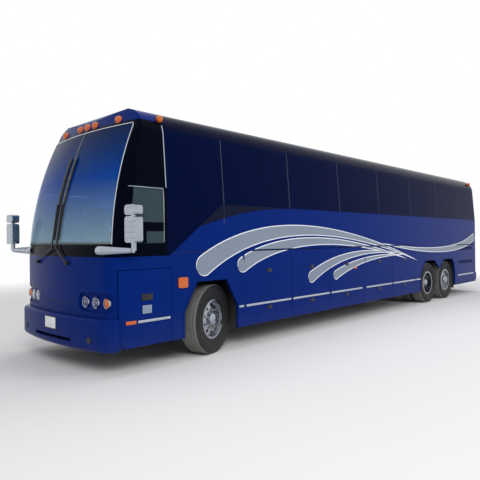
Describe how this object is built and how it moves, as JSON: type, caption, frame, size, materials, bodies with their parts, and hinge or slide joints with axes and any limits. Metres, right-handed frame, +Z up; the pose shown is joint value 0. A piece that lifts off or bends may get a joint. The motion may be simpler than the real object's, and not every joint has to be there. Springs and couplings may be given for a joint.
{
  "type": "coach bus",
  "caption": "High-deck touring coach with tinted side glass, lift-up baggage doors, steered front wheels, twin drive wheels and a trailing tag axle",
  "frame": {"origin": "On the ground under the middle of the coach: the bottom centre of its box", "axes": "+X forward, +Y to the driver side (left), +Z up"},
  "size_m": [13.72, 3.24, 3.745],
  "materials": {
    "body_paint": "glossy deep blue paint",
    "roof_paint": "glossy dark blue paint",
    "black_band": "glossy black",
    "hatch_plastic": "pale moulded plastic",
    "windshield_glass": "clear, lightly tinted",
    "tinted_glass": "dark tinted",
    "headlamp_lens": "clear moulded lens",
    "red_lens": "moulded red lens",
    "amber_lens": "moulded amber lens",
    "chrome": "polished",
    "wiper_black": "satin black",
    "chassis_black": "satin black paint",
    "floor_covering": "ribbed floor covering",
    "dash_plastic": "grained moulding",
    "seat_fabric": "woven seat cloth",
    "engine_iron": "cast",
    "wheel_alloy": "polished forged alloy",
    "tyre_rubber": "road tyre"
  },
  "bodies": {
    "coach": {"roof": "roof_paint", "front_cap": "body_paint", "windshield": "windshield_glass", "windshield_surround": "black_band", "front_mask": "body_paint", "front_bumper": "body_paint", "left_side_wall": "body_paint", "right_side_wall": "body_paint", "window_posts": "black_band", "windows": "tinted_glass", "rear_wall": "body_paint", "rear_bumper": "body_paint", "roof_hatches": "hatch_plastic", "headlamps": "headlamp_lens", "tail_lamps": "red_lens", "marker_lamps": "amber_lens", "mirrors": "chrome", "wipers": "wiper_black", "underframe": "chassis_black", "frame_rails": "chassis_black", "wheel_housings": "chassis_black", "cabin_floor": "floor_covering", "dashboard": "dash_plastic", "seats": "seat_fabric", "engine_block": "engine_iron", "front_axle": "chassis_black", "drive_axle": "chassis_black", "tag_axle": "chassis_black"},
    "knuckle_left": {"knuckle_left": "chassis_black"},
    "knuckle_right": {"knuckle_right": "chassis_black"},
    "tie_rod": {"tie_rod": "chassis_black"},
    "steering_wheel": {"steering_wheel": "dash_plastic"},
    "front_wheel_left": {"front_wheel_left": "wheel_alloy", "front_tyre_left": "tyre_rubber"},
    "drive_wheel_left": {"drive_wheel_left": "wheel_alloy", "drive_tyres_left": "tyre_rubber"},
    "tag_wheel_left": {"tag_wheel_left": "wheel_alloy", "tag_tyre_left": "tyre_rubber"},
    "front_wheel_right": {"front_wheel_right": "wheel_alloy", "front_tyre_right": "tyre_rubber"},
    "drive_wheel_right": {"drive_wheel_right": "wheel_alloy", "drive_tyres_right": "tyre_rubber"},
    "tag_wheel_right": {"tag_wheel_right": "wheel_alloy", "tag_tyre_right": "tyre_rubber"},
    "left_baggage_door_1": {"left_baggage_door_1": "body_paint"},
    "left_baggage_door_2": {"left_baggage_door_2": "body_paint"},
    "left_baggage_door_3": {"left_baggage_door_3": "body_paint"},
    "left_side_door_4": {"left_side_door_4": "body_paint"},
    "left_side_door_5": {"left_side_door_5": "body_paint"},
    "right_baggage_door_1": {"right_baggage_door_1": "body_paint"},
    "right_baggage_door_2": {"right_baggage_door_2": "body_paint"},
    "right_baggage_door_3": {"right_baggage_door_3": "body_paint"},
    "right_side_door_4": {"right_side_door_4": "body_paint"},
    "right_side_door_5": {"right_side_door_5": "body_paint"},
    "service_door": {"service_door": "body_paint"},
    "entrance_door": {"entrance_door": "body_paint", "entrance_door_glass": "tinted_glass"},
    "radiator_door": {"radiator_door": "body_paint"},
    "battery_door": {"battery_door": "body_paint"},
    "engine_door": {"engine_door": "body_paint"}
  },
  "joints": [
    {"name": "steer_left", "type": "hinge", "parent": "coach", "child": "knuckle_left", "pos_m": [4.93, 0.93, 0.526], "axis": [0, 0, 1], "range_deg": [-56, 24]},
    {"name": "steer_right", "type": "hinge", "parent": "coach", "child": "knuckle_right", "pos_m": [4.93, -0.93, 0.526], "axis": [0, 0, 1], "range_deg": [-56, 24]},
    {"name": "tie_rod_pivot", "type": "hinge", "parent": "knuckle_left", "child": "tie_rod", "pos_m": [4.73775, 0.87487, 0.459], "axis": [0, 0, 1], "range_deg": [-24, 56]},
    {"name": "steering_wheel_turn", "type": "hinge", "parent": "coach", "child": "steering_wheel", "pos_m": [6.02, 0.64, 1.76], "axis": [-0.5736, 0, 0.8192], "range_deg": [-896, 384]},
    {"name": "front_left_roll", "type": "hinge", "parent": "knuckle_left", "child": "front_wheel_left", "pos_m": [4.8881, 1.07611, 0.526], "axis": [-0.2756, 0.9613, 0], "continuous": true},
    {"name": "drive_left_roll", "type": "hinge", "parent": "coach", "child": "drive_wheel_left", "pos_m": [-3.1, 1.082, 0.526], "axis": [0, 1, 0], "continuous": true},
    {"name": "tag_left_roll", "type": "hinge", "parent": "coach", "child": "tag_wheel_left", "pos_m": [-4.32, 1.082, 0.526], "axis": [0, 1, 0], "continuous": true},
    {"name": "front_right_roll", "type": "hinge", "parent": "knuckle_right", "child": "front_wheel_right", "pos_m": [4.9719, -1.07611, 0.526], "axis": [-0.2756, 0.9613, 0], "continuous": true},
    {"name": "drive_right_roll", "type": "hinge", "parent": "coach", "child": "drive_wheel_right", "pos_m": [-3.1, -1.082, 0.526], "axis": [0, 1, 0], "continuous": true},
    {"name": "tag_right_roll", "type": "hinge", "parent": "coach", "child": "tag_wheel_right", "pos_m": [-4.32, -1.082, 0.526], "axis": [0, 1, 0], "continuous": true},
    {"name": "left_baggage_door_1_lift", "type": "hinge", "parent": "coach", "child": "left_baggage_door_1", "pos_m": [0, 1.291, 1.557], "axis": [1, 0, 0], "range_deg": [0, 90]},
    {"name": "left_baggage_door_2_lift", "type": "hinge", "parent": "coach", "child": "left_baggage_door_2", "pos_m": [0, 1.291, 1.557], "axis": [1, 0, 0], "range_deg": [0, 90]},
    {"name": "left_baggage_door_3_lift", "type": "hinge", "parent": "coach", "child": "left_baggage_door_3", "pos_m": [0, 1.291, 1.557], "axis": [1, 0, 0], "range_deg": [0, 90]},
    {"name": "left_side_door_4_lift", "type": "hinge", "parent": "coach", "child": "left_side_door_4", "pos_m": [0, 1.291, 1.557], "axis": [1, 0, 0], "range_deg": [0, 90]},
    {"name": "left_side_door_5_lift", "type": "hinge", "parent": "coach", "child": "left_side_door_5", "pos_m": [0, 1.291, 1.557], "axis": [1, 0, 0], "range_deg": [0, 90]},
    {"name": "right_baggage_door_1_lift", "type": "hinge", "parent": "coach", "child": "right_baggage_door_1", "pos_m": [0, -1.291, 1.557], "axis": [-1, 0, 0], "range_deg": [0, 90]},
    {"name": "right_baggage_door_2_lift", "type": "hinge", "parent": "coach", "child": "right_baggage_door_2", "pos_m": [0, -1.291, 1.557], "axis": [-1, 0, 0], "range_deg": [0, 90]},
    {"name": "right_baggage_door_3_lift", "type": "hinge", "parent": "coach", "child": "right_baggage_door_3", "pos_m": [0, -1.291, 1.557], "axis": [-1, 0, 0], "range_deg": [0, 90]},
    {"name": "right_side_door_4_lift", "type": "hinge", "parent": "coach", "child": "right_side_door_4", "pos_m": [0, -1.291, 1.557], "axis": [-1, 0, 0], "range_deg": [0, 90]},
    {"name": "right_side_door_5_lift", "type": "hinge", "parent": "coach", "child": "right_side_door_5", "pos_m": [0, -1.291, 1.557], "axis": [-1, 0, 0], "range_deg": [0, 90]},
    {"name": "service_door_swing", "type": "hinge", "parent": "coach", "child": "service_door", "pos_m": [6.528, 1.24363, 0.85], "axis": [0, 0, -1], "range_deg": [0, 85]},
    {"name": "entrance_door_swing", "type": "hinge", "parent": "coach", "child": "entrance_door", "pos_m": [6.306, -1.275, 1.4], "axis": [0, 0, 1], "range_deg": [0, 85]},
    {"name": "radiator_door_lift", "type": "hinge", "parent": "coach", "child": "radiator_door", "pos_m": [-5.73, 1.27, 1.475], "axis": [1, 0, 0], "range_deg": [0, 85]},
    {"name": "battery_door_lift", "type": "hinge", "parent": "coach", "child": "battery_door", "pos_m": [-5.73, -1.27, 1.475], "axis": [-1, 0, 0], "range_deg": [0, 85]},
    {"name": "engine_door_lift", "type": "hinge", "parent": "coach", "child": "engine_door", "pos_m": [-6.695, 0, 1.925], "axis": [0, 1, 0], "range_deg": [0, 80]}
  ],
  "couplings": [
    {"joint": "steer_right", "follows": "steer_left", "ratio": 1},
    {"joint": "tie_rod_pivot", "follows": "steer_left", "ratio": -1},
    {"joint": "steering_wheel_turn", "follows": "steer_left", "ratio": 16}
  ]
}
